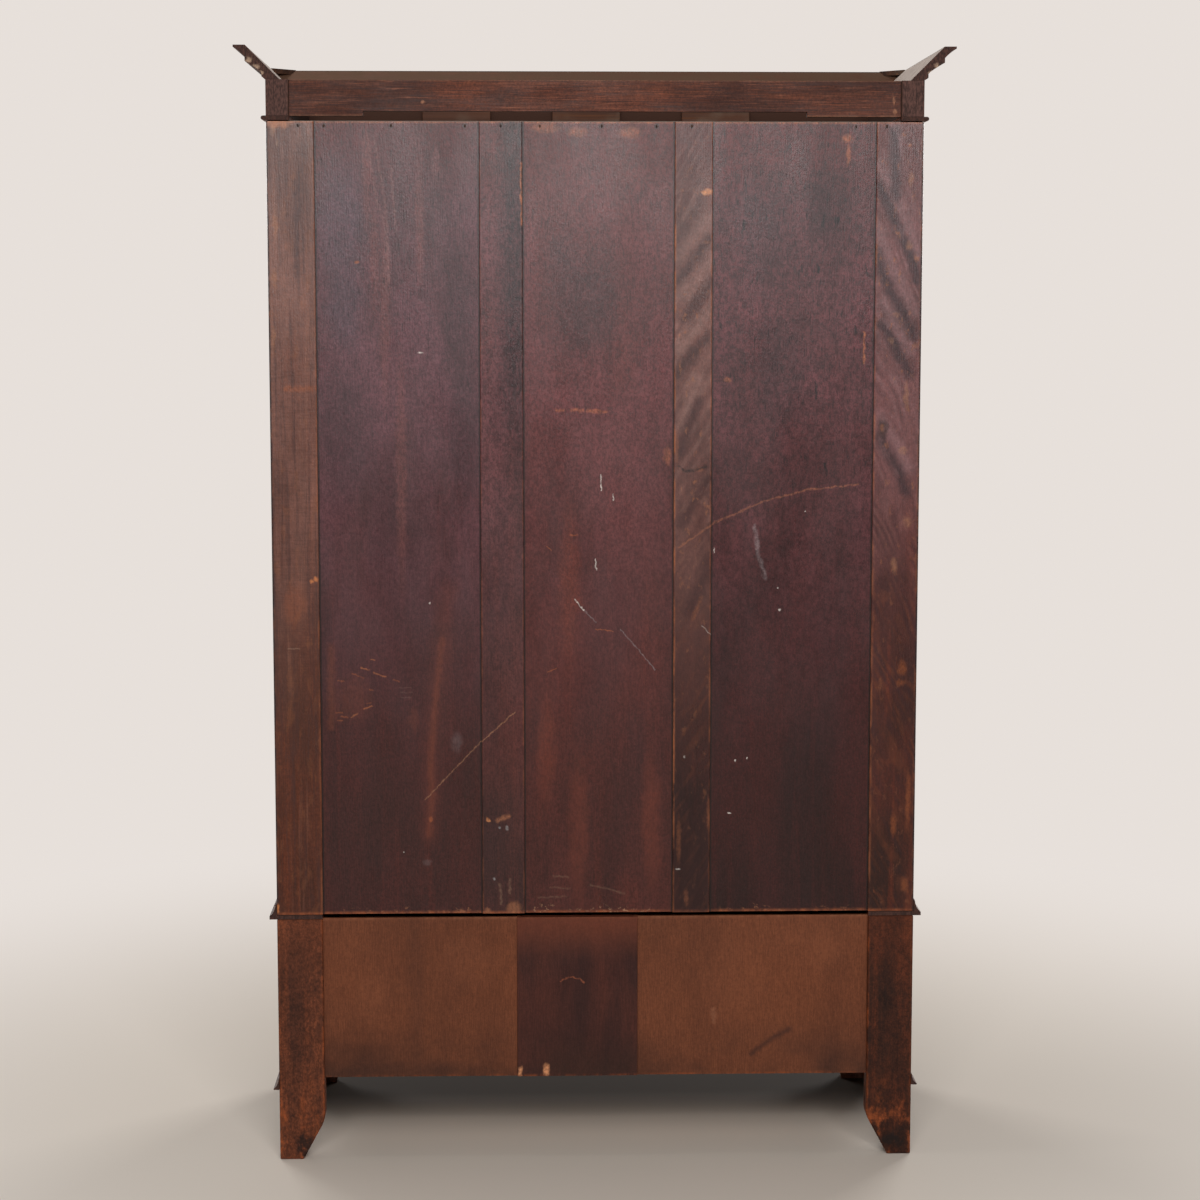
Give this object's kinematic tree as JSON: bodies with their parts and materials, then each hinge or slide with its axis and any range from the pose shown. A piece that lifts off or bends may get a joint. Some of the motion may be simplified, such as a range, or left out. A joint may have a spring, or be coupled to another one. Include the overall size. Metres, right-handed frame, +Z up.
{
  "type": "mirrored wardrobe",
  "caption": "Tall knock-down wooden wardrobe: moulded cornice, hanging carcass with a mirrored hinged door between panelled bays, drawer base on bracket feet, panelled back.",
  "frame": {"origin": "on the floor under the middle of the overall outline", "axes": "+Z up; the door faces -Y and the back faces +Y; +X is to the right seen from the front"},
  "size_m": [1.272, 0.553, 2.011],
  "materials": {
    "mahogany": "aged french-polished mahogany",
    "stained_back": "dark red-brown stained softwood, worn and scratched",
    "stained_pine": "brown stained pine",
    "pine": "bare aged pine",
    "mirror": "bevelled silvered plate glass",
    "brass": "tarnished lacquered brass",
    "iron": "dark malleable iron"
  },
  "bodies": {
    "case": {"back_muntin_left": "stained_back", "back_muntin_right": "stained_back", "back_panel_centre": "stained_back", "back_panel_left": "stained_back", "back_panel_right": "stained_back", "back_stile_left": "stained_back", "back_stile_right": "stained_back", "base_apron": "mahogany", "base_board_centre": "stained_back", "base_board_left": "stained_pine", "base_board_right": "stained_pine", "base_post_left": "stained_pine", "base_post_right": "stained_pine", "base_side_left": "mahogany", "base_side_right": "mahogany", "base_top_rail": "mahogany", "bay_frame_left": "mahogany", "bay_frame_right": "mahogany", "bay_panel_left": "mahogany", "bay_panel_right": "mahogany", "carcass_bottom": "stained_pine", "carcass_side_left": "mahogany", "carcass_side_right": "mahogany", "carcass_top": "stained_pine", "cornice_back_rail": "stained_pine", "cornice_front": "mahogany", "cornice_left": "mahogany", "cornice_right": "mahogany", "drawer_bearer": "pine", "frieze_bead": "mahogany", "frieze_front": "mahogany", "frieze_left": "mahogany", "frieze_right": "mahogany", "hanging_rail": "brass", "hinge_post_leaf_lower": "brass", "hinge_post_leaf_upper": "brass", "plinth_moulding": "mahogany", "waist_frame": "mahogany"},
    "door": {"door_stile_left": "mahogany", "door_stile_right": "mahogany", "door_top_rail": "mahogany", "door_bottom_rail": "mahogany", "mirror_moulding": "mahogany", "mirror_glass": "mirror", "mirror_backboard": "pine", "hinge_door_leaf_lower": "brass", "hinge_door_leaf_upper": "brass", "lock_case": "brass", "door_handle": "brass"},
    "key": {"door_key": "iron"},
    "lock_bolt": {"lock_bolt": "brass"},
    "drawer": {"drawer_front": "mahogany", "drawer_side_left": "pine", "drawer_side_right": "pine", "drawer_back": "pine", "drawer_bottom": "pine", "handle_plate_left": "brass", "handle_plate_right": "brass"},
    "handle_left": {"handle_bail_left": "brass"},
    "handle_right": {"handle_bail_right": "brass"}
  },
  "joints": [
    {"name": "door_hinge", "type": "hinge", "parent": "case", "child": "door", "pos_m": [-0.2785, -0.2242, 1.18], "axis": [0, 0, -1], "range_deg": [0, 170]},
    {"name": "key_turn", "type": "hinge", "parent": "door", "child": "key", "pos_m": [0.249, -0.2095, 1.1198], "axis": [0, -1, 0], "range_deg": [0, 180]},
    {"name": "bolt_slide", "type": "slide", "parent": "door", "child": "lock_bolt", "axis": [1, 0, 0], "range_m": [0, 0.01]},
    {"name": "drawer_slide", "type": "slide", "parent": "case", "child": "drawer", "axis": [0, -1, 0], "range_m": [0, 0.32]},
    {"name": "bail_left_swing", "type": "hinge", "parent": "drawer", "child": "handle_left", "pos_m": [-0.32, -0.2388, 0.309], "axis": [-1, 0, 0], "range_deg": [0, 88]},
    {"name": "bail_right_swing", "type": "hinge", "parent": "drawer", "child": "handle_right", "pos_m": [0.32, -0.2388, 0.309], "axis": [-1, 0, 0], "range_deg": [0, 88]}
  ],
  "couplings": [
    {"joint": "key_turn", "follows": "bolt_slide", "rad_per_m": 314}
  ]
}
